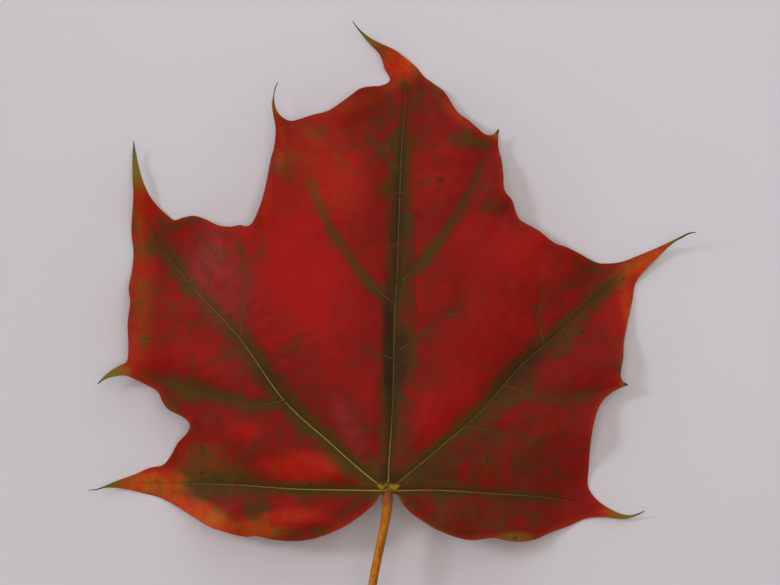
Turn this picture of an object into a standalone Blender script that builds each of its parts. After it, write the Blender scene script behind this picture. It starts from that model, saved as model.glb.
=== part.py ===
# A maple leaf as picked, lying face up: the blade with its ribs, and the stalk it grew on.
# Plan places are millimetres in the leaf's own frame: the ribs meet at 0, 0 and the middle
# lobe points along +Y. Heights are millimetres above the surface that the leaf lies on.

import math

import bmesh
import bpy
import numpy as np
from mathutils import Vector
from mathutils.geometry import delaunay_2d_cdt

MM = 0.001

# Blade
BLADE_THICKNESS = 0.7
MARGIN_STEP = 2.6
FIELD_STEP = 3.6
FIELD_CLEARANCE = 1.5
RIB_STEP = 2.8
ROW_CLEARANCE = 0.42

# The blade stands highest over the stalk's joint, droops towards the lobes and curls up a
# little at their tips. Its reach is measured in shares of a long ellipse round the joint.
DOME_HALF_WIDTH = 72.0
DOME_HALF_LENGTH = 110.0
DOME_HALF_BASE = 40.0
DOME_HEIGHT = 9.4
DOME_FOOT = 0.88
EDGE_CLEARANCE = 2.7
TIP_CURL = 14.0

# Fields between the ribs are pillowed, and the ribs are grooves in the upper face
MAIN_PILLOW = 1.5
MAIN_PILLOW_REACH = 8.0
SIDE_PILLOW = 0.7
SIDE_PILLOW_REACH = 4.0
GROOVE_DEPTH = 0.2

# Waves of the margin: height, wavelength, heading in degrees, phase
MARGIN_WAVES = ((0.8, 19.0, 55.0, 0.7), (0.6, 14.0, 140.0, 2.1), (0.4, 24.0, 10.0, 4.0))
WAVE_REACH = 7.0
CALM_RADIUS = (4.0, 16.0)

# Low spots that the blade rests on, where the main ribs near the lobes' tips meet the surface:
# each is flat, and the blade rises from it all round
REST_SPOTS = {
    "rest_left_lobe": (-57.0, 61.5),
    "rest_lower_left_lobe": (-57.5, 1.7),
    "rest_lower_right_lobe": (46.5, -3.2),
    "rest_right_lobe": (56.0, 51.5),
    "rest_top_lobe": (4.0, 99.5),
}
SPOT_RADIUS = 2.2
SPOT_SIDES = 8
SPOT_REACH = 19.0
SPOT_CLEARANCE = 3.6

# Ribs that stand out below: half width at the base, half width at the tip, depth at the base,
# depth at the tip
MAIN_RIB = (0.95, 0.4, 1.1, 0.2)
SIDE_RIB = (0.55, 0.35, 0.5, 0.15)

# Stalk
STALK_SIDES = 12
STALK_STEP = 3.4
SCAR_DEPTH = 0.5

# The margin, counter-clockwise from the right of the stalk. Each stretch runs smoothly from
# one tip or tooth to the next, where the edge turns sharply.
MARGIN = {
    "lower right lobe, near edge": (
        (1.7, -0.6), (2.6, -1.2), (3.6, -3.0), (5.4, -5.1), (8.4, -7.3), (12.5, -9.7), (17.7, -11.7),
        (21.3, -12.2), (26.2, -11.7), (29.3, -12.4), (33.0, -12.8), (36.5, -12.4), (41.1, -10.6),
        (45.4, -9.1), (49.6, -7.3), (54.0, -6.9), (58.4, -7.4), (61.7, -6.9), (64.2, -5.7),
    ),
    "lower right lobe, far edge": (
        (64.0, -5.0), (61.8, -6.1), (59.0, -6.1), (56.3, -5.2), (53.1, -3.2), (51.0, -0.9),
        (50.1, 1.5), (50.3, 6.0), (50.6, 11.5), (51.3, 16.3), (52.6, 20.5), (54.5, 23.2),
        (57.0, 25.0), (59.9, 26.1),
    ),
    "right lobe, near edge": (
        (59.8, 26.8), (58.5, 27.6), (58.1, 28.9), (58.4, 31.0), (58.8, 33.5), (59.0, 37.0),
        (59.9, 41.5), (61.2, 47.1), (61.8, 51.0), (63.0, 53.3), (65.2, 55.8), (67.4, 58.0),
        (69.6, 60.2), (72.3, 61.9), (74.6, 63.2), (76.8, 64.0),
    ),
    "right lobe, far edge": (
        (76.6, 64.7), (74.0, 64.0), (71.2, 62.6), (68.0, 60.9), (63.0, 58.8), (58.6, 57.1),
        (55.0, 56.7), (52.0, 57.0), (48.0, 59.1), (44.6, 60.8), (41.5, 61.9), (37.6, 64.9),
        (33.4, 67.3), (32.1, 69.2), (31.0, 72.4), (29.1, 75.0), (28.8, 78.8), (28.4, 82.5),
        (27.7, 86.0), (27.9, 90.2),
    ),
    "top lobe, right edge": (
        (27.2, 90.2), (26.0, 89.0), (24.4, 88.9), (22.4, 90.5), (20.0, 92.6), (17.6, 94.4),
        (15.7, 97.2), (14.2, 99.6), (11.5, 101.7), (9.0, 103.6), (7.0, 106.0), (4.5, 108.1),
        (1.4, 110.3), (-2.6, 112.1), (-5.5, 114.1), (-7.2, 115.6), (-8.4, 117.3),
    ),
    "top lobe, left edge": (
        (-9.0, 116.9), (-7.9, 115.1), (-6.1, 113.0), (-4.1, 111.0), (-2.4, 109.4), (-1.4, 107.4),
        (-0.8, 105.3), (0.4, 103.4), (0.2, 102.2), (-1.7, 101.3), (-4.5, 101.0), (-7.0, 100.4),
        (-9.4, 98.7), (-12.4, 96.5), (-15.2, 94.8), (-19.0, 93.8), (-22.0, 92.8), (-24.0, 92.3),
        (-25.6, 92.7), (-27.3, 94.1), (-28.1, 95.9), (-28.2, 98.2), (-27.8, 100.2), (-27.2, 101.9),
    ),
    "left lobe, inner edge": (
        (-27.9, 102.1), (-28.5, 100.4), (-28.9, 98.2), (-29.0, 96.3), (-28.6, 93.4), (-28.1, 90.5),
        (-28.4, 86.3), (-29.5, 82.0), (-30.3, 77.5), (-31.4, 72.8), (-32.8, 69.0), (-34.2, 66.5),
        (-35.5, 66.0), (-37.0, 66.3), (-39.5, 65.9), (-42.6, 66.3), (-45.5, 67.7), (-48.5, 68.6),
        (-51.3, 68.2), (-53.5, 67.5), (-54.9, 68.4), (-57.2, 70.5), (-59.2, 72.9), (-60.8, 76.0),
        (-61.9, 80.2), (-62.7, 84.0), (-63.2, 87.3),
    ),
    "left lobe, outer edge": (
        (-63.9, 87.3), (-64.1, 83.5), (-63.9, 78.0), (-63.7, 73.5), (-64.1, 68.5), (-64.3, 64.2),
        (-63.8, 59.5), (-64.1, 55.0), (-64.8, 50.5), (-64.4, 46.8), (-65.1, 41.5), (-64.9, 36.0),
        (-65.2, 32.3), (-66.8, 31.3), (-69.3, 29.9), (-71.3, 28.2), (-72.8, 26.9),
    ),
    "lower left lobe, far edge": (
        (-72.3, 26.4), (-70.2, 27.6), (-67.8, 28.5), (-65.4, 28.6), (-63.0, 27.6), (-60.2, 26.2),
        (-57.6, 24.6), (-56.3, 22.1), (-54.8, 20.2), (-52.0, 18.7), (-50.1, 17.4), (-49.5, 15.8),
        (-50.5, 14.0), (-52.6, 11.8), (-54.4, 8.6), (-56.4, 6.2), (-59.9, 5.4), (-63.5, 3.8),
        (-67.5, 2.4), (-71.3, 1.0), (-75.0, 0.3),
    ),
    "lower left lobe, near edge": (
        (-75.0, -0.4), (-71.2, 0.2), (-66.7, 0.3), (-62.0, -0.8), (-57.4, -2.0), (-53.5, -3.9),
        (-49.0, -6.6), (-44.5, -9.1), (-39.5, -10.7), (-35.3, -11.6), (-33.0, -11.3),
        (-28.6, -12.2), (-24.0, -12.5), (-20.0, -12.2), (-16.0, -11.1), (-12.0, -9.4), (-8.6, -7.4),
        (-5.3, -4.9), (-3.1, -2.7), (-2.2, -1.3), (-1.7, -0.6),
    ),
}

# The five ribs that fan out from the stalk
MAIN_VEINS = {
    "midrib": (
        (0.0, 0.2), (0.3, 7.8), (0.9, 16.6), (1.3, 25.0), (1.6, 42.0), (2.3, 55.0), (2.8, 70.0),
        (3.4, 85.3), (4.2, 96.7), (3.6, 104.0), (0.5, 109.0), (-4.0, 112.4),
    ),
    "left lobe rib": (
        (0.0, 0.2), (-5.5, 4.2), (-14.6, 12.2), (-26.0, 22.6), (-37.1, 38.0), (-47.4, 49.1),
        (-54.0, 56.9), (-58.9, 64.8), (-62.2, 73.8), (-63.2, 82.0),
    ),
    "right lobe rib": (
        (0.0, 0.2), (5.7, 4.8), (13.4, 11.3), (23.0, 19.6), (33.2, 31.1), (43.9, 40.4),
        (52.9, 48.7), (60.0, 55.0), (69.5, 60.8),
    ),
    "lower left rib": (
        (-0.3, 0.2), (-9.8, 0.3), (-23.7, 0.5), (-38.2, 1.4), (-54.4, 1.5), (-67.5, 1.3),
    ),
    "lower right rib": (
        (0.3, 0.2), (13.4, 0.2), (28.4, -0.9), (39.1, -1.9), (49.8, -3.9), (59.2, -6.7),
    ),
}

# Side veins that leave the main ribs
SIDE_VEINS = {
    "top lobe, left": (
        (1.4, 46.8), (-4.4, 51.5), (-9.5, 58.4), (-14.3, 65.3), (-19.7, 77.4), (-24.5, 87.5),
        (-27.5, 93.5),
    ),
    "top lobe, right": (
        (2.1, 51.3), (8.6, 57.1), (16.3, 67.0), (22.3, 78.7), (26.6, 88.5),
    ),
    "top lobe, small left": ((3.2, 79.5), (-1.8, 84.3), (-7.8, 92.0)),
    "top lobe, small right": ((3.0, 74.2), (6.8, 75.4), (11.6, 79.3)),
    "middle, small right": ((1.5, 34.3), (7.5, 38.4), (15.4, 43.9), (19.4, 49.6)),
    "middle, small left": ((1.4, 32.8), (-2.7, 34.4), (-8.1, 36.1)),
    "left lobe, inner": ((-37.1, 38.0), (-36.0, 48.2), (-36.6, 58.8), (-38.2, 64.5)),
    "left lobe, tooth": (
        (-26.0, 22.4), (-33.8, 21.4), (-46.0, 24.7), (-59.5, 28.3), (-70.0, 28.3),
    ),
    "left lobe, outer": ((-42.6, 43.6), (-50.1, 41.8), (-56.0, 42.2)),
    "left lobe, upper": ((-49.3, 51.2), (-49.6, 56.4), (-47.5, 62.6)),
    "right lobe, upper": ((39.0, 36.5), (37.3, 43.3), (38.5, 48.4), (37.6, 55.0)),
    "right lobe, outer": ((43.8, 40.2), (47.1, 37.2), (53.0, 36.9)),
    "right lobe, tooth": ((29.0, 26.2), (37.6, 23.8), (46.5, 23.2), (57.8, 26.0)),
    "right lobe, small": ((19.2, 16.2), (28.0, 14.5), (34.0, 13.8)),
    "lower left lobe, upper": ((-38.2, 1.5), (-40.4, 9.9), (-47.1, 12.7)),
    "base, left": ((-0.9, 0.0), (-7.9, -3.2), (-13.0, -7.0)),
    "base, right": ((0.9, 0.0), (6.3, -3.0), (11.6, -6.8)),
}

# Stalk axis from the blade to the end that sat on the twig: plan place, height, radius
STALK_AXIS = (
    (-0.1, -0.9, 11.9, 1.50),
    (-0.1, -2.2, 12.0, 1.48),
    (-0.4, -5.8, 12.4, 1.25),
    (-2.0, -12.9, 13.2, 1.10),
    (-3.6, -21.8, 13.7, 1.08),
    (-5.0, -32.0, 13.4, 1.05),
    (-6.0, -45.0, 11.9, 1.05),
    (-6.2, -60.0, 9.3, 1.05),
    (-5.4, -75.0, 6.3, 1.10),
    (-4.0, -88.0, 3.8, 1.20),
    (-2.8, -97.0, 2.3, 1.50),
    (-2.0, -103.0, 1.85, 2.10),
    (-1.7, -105.5, 1.85, 2.25),
)

BLADE_COLOUR = (0.36, 0.02, 0.012, 1.0)
STALK_COLOUR = (0.46, 0.17, 0.03, 1.0)


def catmull_rom(points, step):
    """A smooth line through the points that keeps each of them, cut about every step."""
    knots = [np.array(p, dtype=float) for p in points]
    knots = [2 * knots[0] - knots[1]] + knots + [2 * knots[-1] - knots[-2]]
    line = [knots[1]]
    for before, start, end, after in zip(knots, knots[1:], knots[2:], knots[3:]):
        pieces = max(1, math.ceil(np.linalg.norm(end - start) / step))
        for i in range(1, pieces + 1):
            t = i / pieces
            line.append(0.5 * (2 * start + (end - before) * t
                               + (2 * before - 5 * start + 4 * end - after) * t ** 2
                               + (3 * start - before - 3 * end + after) * t ** 3))
    return np.array(line)


def smoothstep(low, high, value):
    t = np.clip((value - low) / (high - low), 0.0, 1.0)
    return t * t * (3.0 - 2.0 * t)


def nearest_on_line(points, line):
    """Distance of each point from the line, and how far along the line the nearest place is."""
    start = line[:-1]
    run = line[1:] - start
    length = np.linalg.norm(run, axis=1)
    along = np.concatenate(([0.0], np.cumsum(length)))
    offset = points[:, None, :] - start[None, :, :]
    t = np.clip((offset * run).sum(axis=2) / length ** 2, 0.0, 1.0)
    distance = np.linalg.norm(offset - t[:, :, None] * run, axis=2)
    best = distance.argmin(axis=1)
    rows = np.arange(len(points))
    share = (along[best] + t[rows, best] * length[best]) / along[-1]
    return distance[rows, best], share


def inside(points, outline):
    """Which points lie inside the closed outline, by counting the edges to their right."""
    crossings = np.zeros(len(points), dtype=int)
    for a, b in zip(outline, np.roll(outline, -1, axis=0)):
        if a[1] == b[1]:
            continue
        spans = (points[:, 1] >= min(a[1], b[1])) & (points[:, 1] < max(a[1], b[1]))
        cut = a[0] + (points[:, 1] - a[1]) / (b[1] - a[1]) * (b[0] - a[0])
        crossings += spans & (cut > points[:, 0])
    return crossings % 2 == 1


def margin_outline():
    stretches = [catmull_rom(points, MARGIN_STEP) for points in MARGIN.values()]
    return np.concatenate(stretches)


def vein_lines(veins):
    return {name: catmull_rom(points, RIB_STEP) for name, points in veins.items()}


def rib_rows(line, rib):
    """Points along a rib's crown and along both of its feet."""
    tangent = np.gradient(line, axis=0)
    tangent /= np.linalg.norm(tangent, axis=1)[:, None]
    normal = np.stack((-tangent[:, 1], tangent[:, 0]), axis=1)
    share = np.linspace(0.0, 1.0, len(line))[:, None]
    half_width = rib[0] + (rib[1] - rib[0]) * share
    return np.concatenate((line, line + normal * half_width, line - normal * half_width))


def keep_clear(points, taken, clearance):
    """Each point in turn that is at least the clearance from all the points taken so far."""
    kept = []
    placed = np.array(taken)
    for point in points:
        if np.linalg.norm(placed - point, axis=1).min() >= clearance:
            kept.append(point)
            placed = np.vstack((placed, point))
    return np.array(kept).reshape(-1, 2)


def field_points(outline):
    """A plain triangle grid over the whole blade."""
    row_height = FIELD_STEP * math.sqrt(0.75)
    low = outline.min(axis=0)
    high = outline.max(axis=0)
    rows = []
    for j, v in enumerate(np.arange(low[1], high[1], row_height)):
        u = np.arange(low[0] + (j % 2) * FIELD_STEP / 2, high[0], FIELD_STEP)
        rows.append(np.stack((u, np.full_like(u, v)), axis=1))
    return np.concatenate(rows)


def blade_plan(outline, main_lines, side_lines):
    """Corner places of the blade's triangles in plan: margin first, then rests, ribs, fields."""
    closed = np.vstack((outline, outline[:1]))
    spots = np.array(list(REST_SPOTS.values()))
    turns = np.arange(SPOT_SIDES) * 2 * math.pi / SPOT_SIDES
    ring = SPOT_RADIUS * np.stack((np.cos(turns), np.sin(turns)), axis=1)
    rests = np.concatenate([np.vstack((spot, spot + ring)) for spot in spots])
    plan = np.vstack((outline, rests))

    ribs = [rib_rows(line, MAIN_RIB) for line in main_lines.values()]
    ribs += [rib_rows(line, SIDE_RIB) for line in side_lines.values()]
    ribs = np.concatenate(ribs)
    ribs = ribs[inside(ribs, outline)]
    for spot in spots:
        ribs = ribs[np.linalg.norm(ribs - spot, axis=1) > SPOT_RADIUS + ROW_CLEARANCE]
    plan = np.vstack((plan, keep_clear(ribs, plan, ROW_CLEARANCE)))

    fields = field_points(outline)
    fields = fields[inside(fields, outline)]
    fields = fields[nearest_on_line(fields, closed)[0] > FIELD_CLEARANCE]
    for spot in spots:
        fields = fields[np.linalg.norm(fields - spot, axis=1) > SPOT_CLEARANCE]
    return np.vstack((plan, keep_clear(fields, plan, FIELD_CLEARANCE)))


def relief(points, outline, main_lines, side_lines):
    """Height of the blade's lower face with no ribs, and the share of full rib at each point."""
    closed = np.vstack((outline, outline[:1]))
    half_length = np.where(points[:, 1] > 0.0, DOME_HALF_LENGTH, DOME_HALF_BASE)
    reach = np.hypot(points[:, 0] / DOME_HALF_WIDTH, points[:, 1] / half_length)
    height = EDGE_CLEARANCE + DOME_HEIGHT * (1.0 - smoothstep(0.0, DOME_FOOT, reach))
    height += TIP_CURL * np.clip(reach - DOME_FOOT, 0.0, None) ** 2

    calm = smoothstep(*CALM_RADIUS, np.linalg.norm(points, axis=1))
    wave = np.zeros(len(points))
    for size, length, heading, phase in MARGIN_WAVES:
        direction = np.array((math.cos(math.radians(heading)), math.sin(math.radians(heading))))
        wave += size * np.sin(2 * math.pi * (points @ direction) / length + phase)
    height += wave * calm * np.exp(-nearest_on_line(points, closed)[0] / WAVE_REACH)

    rib = np.zeros(len(points))
    groove = np.zeros(len(points))
    to_main = np.full(len(points), np.inf)
    to_side = np.full(len(points), np.inf)
    for lines, sizes, nearest in (
        (main_lines, MAIN_RIB, to_main),
        (side_lines, SIDE_RIB, to_side),
    ):
        for line in lines.values():
            distance, share = nearest_on_line(points, line)
            half_width = sizes[0] + (sizes[1] - sizes[0]) * share
            depth = sizes[2] + (sizes[3] - sizes[2]) * share
            crown = np.clip(1.0 - distance / half_width, 0.0, 1.0)
            rib = np.maximum(rib, depth * crown)
            groove = np.maximum(groove, GROOVE_DEPTH * crown)
            np.minimum(nearest, distance, out=nearest)
    to_any = np.minimum(to_main, to_side)
    height += MAIN_PILLOW * calm * (1.0 - np.exp(-(to_main / MAIN_PILLOW_REACH) ** 2))
    height += SIDE_PILLOW * calm * (1.0 - np.exp(-(to_any / SIDE_PILLOW_REACH) ** 2))

    for spot in REST_SPOTS.values():
        distance = np.linalg.norm(points - np.array(spot), axis=1)
        height *= smoothstep(SPOT_RADIUS + 0.05, SPOT_REACH, distance)
    rib *= smoothstep(0.0, EDGE_CLEARANCE, height)
    return height, rib, groove


def blade_mesh():
    """A closed blade whose two faces share one plan of triangles."""
    outline = margin_outline()
    main_lines = vein_lines(MAIN_VEINS)
    side_lines = vein_lines(SIDE_VEINS)
    plan = blade_plan(outline, main_lines, side_lines)
    rim = [(i, (i + 1) % len(outline)) for i in range(len(outline))]
    corners, _, faces = delaunay_2d_cdt([Vector(p) for p in plan], rim, [], 1, 1e-6)[:3]
    points = np.array([tuple(corner) for corner in corners])
    height, rib, groove = relief(points, outline, main_lines, side_lines)

    mesh = bmesh.new()
    lower = [mesh.verts.new((x * MM, y * MM, z * MM)) for (x, y), z in zip(points, height - rib)]
    top_height = height + BLADE_THICKNESS - groove
    upper = [mesh.verts.new((x * MM, y * MM, z * MM)) for (x, y), z in zip(points, top_height)]
    sides = set()
    for face in faces:
        a, b, c = (points[i] for i in face)
        turn = (b[0] - a[0]) * (c[1] - a[1]) - (b[1] - a[1]) * (c[0] - a[0])
        loop = list(face) if turn > 0 else list(reversed(face))
        mesh.faces.new([upper[i] for i in loop])
        mesh.faces.new([lower[i] for i in reversed(loop)])
        sides.update(zip(loop, loop[1:] + loop[:1]))
    for start, end in sorted(side for side in sides if side[::-1] not in sides):
        mesh.faces.new((lower[start], lower[end], upper[end]))
        mesh.faces.new((lower[start], upper[end], upper[start]))
    for vert in [v for v in mesh.verts if not v.link_faces]:
        mesh.verts.remove(vert)
    return mesh


def stalk_mesh():
    """A round stalk, swollen at both ends, with the scar of the twig at its far end."""
    axis = catmull_rom(STALK_AXIS, STALK_STEP)
    centre = axis[:, :3]
    radius = axis[:, 3]
    tangent = np.gradient(centre, axis=0)
    tangent[0] = (0.0, -1.0, 0.0)
    tangent /= np.linalg.norm(tangent, axis=1)[:, None]
    mesh = bmesh.new()
    rings = []
    for place, along, size in zip(centre, tangent, radius):
        side = np.cross(along, (0.0, 0.0, 1.0))
        side /= np.linalg.norm(side)
        up = np.cross(side, along)
        ring = []
        for k in range(STALK_SIDES):
            turn = 2 * math.pi * (k + 0.5) / STALK_SIDES
            corner = place + size * (math.cos(turn) * side + math.sin(turn) * up)
            corner[2] = max(corner[2], 0.0)
            ring.append(mesh.verts.new(corner * MM))
        rings.append(ring)
    for ring, following in zip(rings, rings[1:]):
        for k in range(STALK_SIDES):
            after = (k + 1) % STALK_SIDES
            mesh.faces.new((ring[k], ring[after], following[after], following[k]))
    head = mesh.verts.new(centre[0] * MM)
    scar = mesh.verts.new((centre[-1] - tangent[-1] * SCAR_DEPTH) * MM)
    for k in range(STALK_SIDES):
        after = (k + 1) % STALK_SIDES
        mesh.faces.new((head, rings[0][after], rings[0][k]))
        mesh.faces.new((scar, rings[-1][k], rings[-1][after]))
    bmesh.ops.recalc_face_normals(mesh, faces=mesh.faces[:])
    bmesh.ops.triangulate(mesh, faces=[f for f in mesh.faces if len(f.verts) > 3])
    return mesh


def make_material(name, colour, roughness):
    material = bpy.data.materials.new(name)
    material.use_nodes = True
    shader = material.node_tree.nodes["Principled BSDF"]
    shader.inputs["Base Color"].default_value = colour
    shader.inputs["Roughness"].default_value = roughness
    shader.inputs["Metallic"].default_value = 0.0
    material.diffuse_color = colour
    return material


def add_object(name, mesh, material, offset):
    """Hold the mesh in a named object, moved so that the origin is under the leaf's middle."""
    bmesh.ops.translate(mesh, verts=mesh.verts[:], vec=offset)
    data = bpy.data.meshes.new(name)
    mesh.to_mesh(data)
    mesh.free()
    data.materials.append(material)
    data.shade_smooth()
    data.set_sharp_from_angle(angle=math.radians(50.0))
    item = bpy.data.objects.new(name, data)
    bpy.context.scene.collection.objects.link(item)
    return item


def plan_middle(meshes):
    """Middle of the box round all the meshes, on the surface."""
    low = [min(v.co[k] for mesh in meshes for v in mesh.verts) for k in range(2)]
    high = [max(v.co[k] for mesh in meshes for v in mesh.verts) for k in range(2)]
    return Vector(((low[0] + high[0]) / 2, (low[1] + high[1]) / 2, 0.0))


def main():
    for item in list(bpy.data.objects):
        bpy.data.objects.remove(item, do_unlink=True)
    blade = blade_mesh()
    stalk = stalk_mesh()
    offset = -plan_middle((blade, stalk))
    add_object("leaf_blade", blade, make_material("blade_red", BLADE_COLOUR, 0.45), offset)
    add_object("leaf_stalk", stalk, make_material("stalk_orange", STALK_COLOUR, 0.5), offset)
    for name, (x, y) in REST_SPOTS.items():
        print(name, round(x * MM + offset.x, 5), round(y * MM + offset.y, 5))
    print("joint of the ribs", round(offset.x, 5), round(offset.y, 5))


main()
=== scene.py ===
import math

import bpy
import numpy as np
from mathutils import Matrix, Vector
from mathutils.geometry import delaunay_2d_cdt
from mathutils.kdtree import KDTree


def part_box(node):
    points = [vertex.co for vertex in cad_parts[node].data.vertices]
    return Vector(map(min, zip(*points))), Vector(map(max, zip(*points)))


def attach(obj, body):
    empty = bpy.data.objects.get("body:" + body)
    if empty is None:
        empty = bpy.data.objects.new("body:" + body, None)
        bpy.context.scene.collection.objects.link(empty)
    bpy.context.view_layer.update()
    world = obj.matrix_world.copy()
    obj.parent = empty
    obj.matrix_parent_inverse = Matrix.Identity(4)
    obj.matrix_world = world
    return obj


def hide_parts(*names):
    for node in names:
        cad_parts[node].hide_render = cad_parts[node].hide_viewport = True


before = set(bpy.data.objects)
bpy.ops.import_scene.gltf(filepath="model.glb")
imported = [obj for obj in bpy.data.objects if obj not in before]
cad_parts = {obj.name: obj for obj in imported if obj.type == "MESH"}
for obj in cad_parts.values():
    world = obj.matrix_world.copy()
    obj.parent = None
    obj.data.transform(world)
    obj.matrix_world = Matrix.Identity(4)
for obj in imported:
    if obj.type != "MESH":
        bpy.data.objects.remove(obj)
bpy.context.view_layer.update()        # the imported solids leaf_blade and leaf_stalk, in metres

mm = 0.001               # plan and shapes are in millimetres, the scene is in metres
fullTurn = 2 * math.pi
random = np.random.default_rng(7)

# Plan of the leaf in millimetres: the ribs meet at 0, 0 and the middle lobe points along +Y.
# Each stretch of the margin is smooth between two tips or teeth, counter-clockwise.
marginStretches = {
    "lowerRightNear": [
        (1.7, -0.6), (2.6, -1.2), (3.6, -3), (5.4, -5.1), (8.4, -7.3), (12.5, -9.7), (17.7, -11.7),
        (21.3, -12.2), (26.2, -11.7), (29.3, -12.4), (33, -12.8), (36.5, -12.4), (41.1, -10.6),
        (45.4, -9.1), (49.6, -7.3), (54, -6.9), (58.4, -7.4), (60.6, -7.1), (62.4, -6.4), (64.2, -5.4),
    ],
    "lowerRightFar": [
        (64.1, -5.25), (62.2, -6.05), (60.4, -6.4), (58.6, -6.1), (56.3, -5.2), (53.1, -3.2), (51, -0.9),
        (50.1, 1.5), (50.3, 6), (50.6, 11.5), (51.3, 16.3), (52.6, 20.5), (54.5, 23.2), (57, 25),
        (59.9, 26.3),
    ],
    "rightNear": [
        (59.85, 26.5), (58.5, 27.5), (58.1, 28.9), (58.4, 31), (58.8, 33.5), (59, 37), (59.9, 41.5),
        (61.2, 47.1), (61.8, 51), (63, 53.3), (65.2, 55.8), (67.4, 58), (69.6, 60.2), (71.6, 61.9),
        (73.4, 63), (75.2, 64), (76.7, 64.3),
    ],
    "rightFar": [
        (76.7, 64.5), (75, 64.3), (73.1, 63.4), (71.1, 62.4), (68, 60.9), (63, 58.8), (58.6, 57.1),
        (55, 56.7), (52, 57), (48, 59.1), (44.6, 60.8), (41.5, 61.9), (37.6, 64.9), (33.4, 67.3),
        (32.1, 69.2), (31, 72.4), (29.1, 75), (28.8, 78.8), (28.4, 82.5), (27.6, 86), (27.75, 90.3),
    ],
    "topRight": [
        (27.6, 90.3), (26.2, 88.9), (24.4, 88.9), (22.4, 90.5), (20, 92.6), (17.6, 94.4), (15.7, 97.2),
        (14.2, 99.6), (11.5, 101.7), (9, 103.6), (7, 106), (4.5, 108.1), (1.4, 110.3), (-2.6, 112.1),
        (-5.2, 113.7), (-7.2, 115.3), (-8.8, 117.2),
    ],
    "topLeft": [
        (-8.95, 117.1), (-7.5, 115.1), (-5.9, 113.1), (-4.1, 111.1), (-2.4, 109.4), (-1.4, 107.4),
        (-0.8, 105.3), (0.4, 103.4), (0.2, 102.2), (-1.7, 101.3), (-4.5, 101), (-7, 100.4), (-9.4, 98.7),
        (-12.4, 96.5), (-15.2, 94.8), (-19, 93.8), (-22, 92.8), (-24, 92.3), (-25.6, 92.7), (-27.3, 94.1),
        (-28.1, 95.9), (-28.4, 98.2), (-28.1, 100.2), (-27.4, 102),
    ],
    "leftInner": [
        (-27.5, 102.1), (-28.3, 100.4), (-28.7, 98.2), (-29, 96.3), (-28.6, 93.4), (-28.1, 90.5),
        (-28.4, 86.3), (-29.5, 82), (-30.3, 77.5), (-31.4, 72.8), (-32.8, 69), (-34.2, 66.5), (-35.5, 66),
        (-37, 66.3), (-39.5, 65.9), (-42.6, 66.3), (-45.5, 67.7), (-48.5, 68.6), (-51.3, 68.2),
        (-53.5, 67.5), (-54.9, 68.4), (-57.2, 70.5), (-59.2, 72.9), (-60.8, 76), (-62, 79.6),
        (-62.9, 83.4), (-63.5, 87.3),
    ],
    "leftOuter": [
        (-63.65, 87.3), (-64, 83), (-63.9, 78), (-63.7, 73.5), (-64.1, 68.5), (-64.3, 64.2),
        (-63.8, 59.5), (-64.1, 55), (-64.8, 50.5), (-64.4, 46.8), (-65.1, 41.5), (-64.9, 36),
        (-65.2, 32.3), (-66.8, 31.3), (-69.2, 29.9), (-71.2, 28.2), (-72.6, 26.6),
    ],
    "lowerLeftFar": [
        (-72.5, 26.5), (-70.4, 27.8), (-67.8, 28.5), (-65.4, 28.6), (-63, 27.6), (-60.2, 26.2),
        (-57.6, 24.6), (-56.3, 22.1), (-54.8, 20.2), (-52, 18.7), (-50.1, 17.4), (-49.5, 15.8),
        (-50.5, 14), (-52.6, 11.8), (-54.4, 8.6), (-56.4, 6.2), (-59.9, 5.4), (-63.5, 3.8), (-67.5, 2.4),
        (-70.9, 1), (-72.9, 0.25), (-75, 0.05),
    ],
    "lowerLeftNear": [
        (-75, -0.1), (-72.8, 0), (-70.6, 0.5), (-66.7, 0.3), (-62, -0.8), (-57.4, -2), (-53.5, -3.9),
        (-49, -6.6), (-44.5, -9.1), (-39.5, -10.7), (-35.3, -11.6), (-33, -11.3), (-28.6, -12.2),
        (-24, -12.5), (-20, -12.2), (-16, -11.1), (-12, -9.4), (-8.6, -7.4), (-5.3, -4.9), (-3.1, -2.7),
        (-2.2, -1.3), (-1.7, -0.6),
    ],
}

mainVeins = {
    "midrib": [
        (0, 0.2), (0.3, 7.8), (0.9, 16.6), (1.3, 25), (1.6, 42), (2.3, 55), (2.8, 70), (3.4, 85.3),
        (4.2, 96.7), (3.6, 104), (0.5, 109), (-4, 112.4),
    ],
    "leftLobe": [
        (0, 0.2), (-5.5, 4.2), (-14.6, 12.2), (-26, 22.6), (-37.1, 38), (-47.4, 49.1), (-54, 56.9),
        (-58.9, 64.8), (-62.2, 73.8), (-63.2, 82),
    ],
    "rightLobe": [
        (0, 0.2), (5.7, 4.8), (13.4, 11.3), (23, 19.6), (33.2, 31.1), (43.9, 40.4), (52.9, 48.7),
        (60, 55), (69.5, 60.8),
    ],
    "lowerLeft": [
        (-0.3, 0.2), (-9.8, 0.3), (-23.7, 0.5), (-38.2, 1.4), (-54.4, 1.5), (-67.5, 1.3),
    ],
    "lowerRight": [
        (0.3, 0.2), (13.4, 0.2), (28.4, -0.9), (39.1, -1.9), (49.8, -3.9), (59.2, -6.7),
    ],
}

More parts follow.
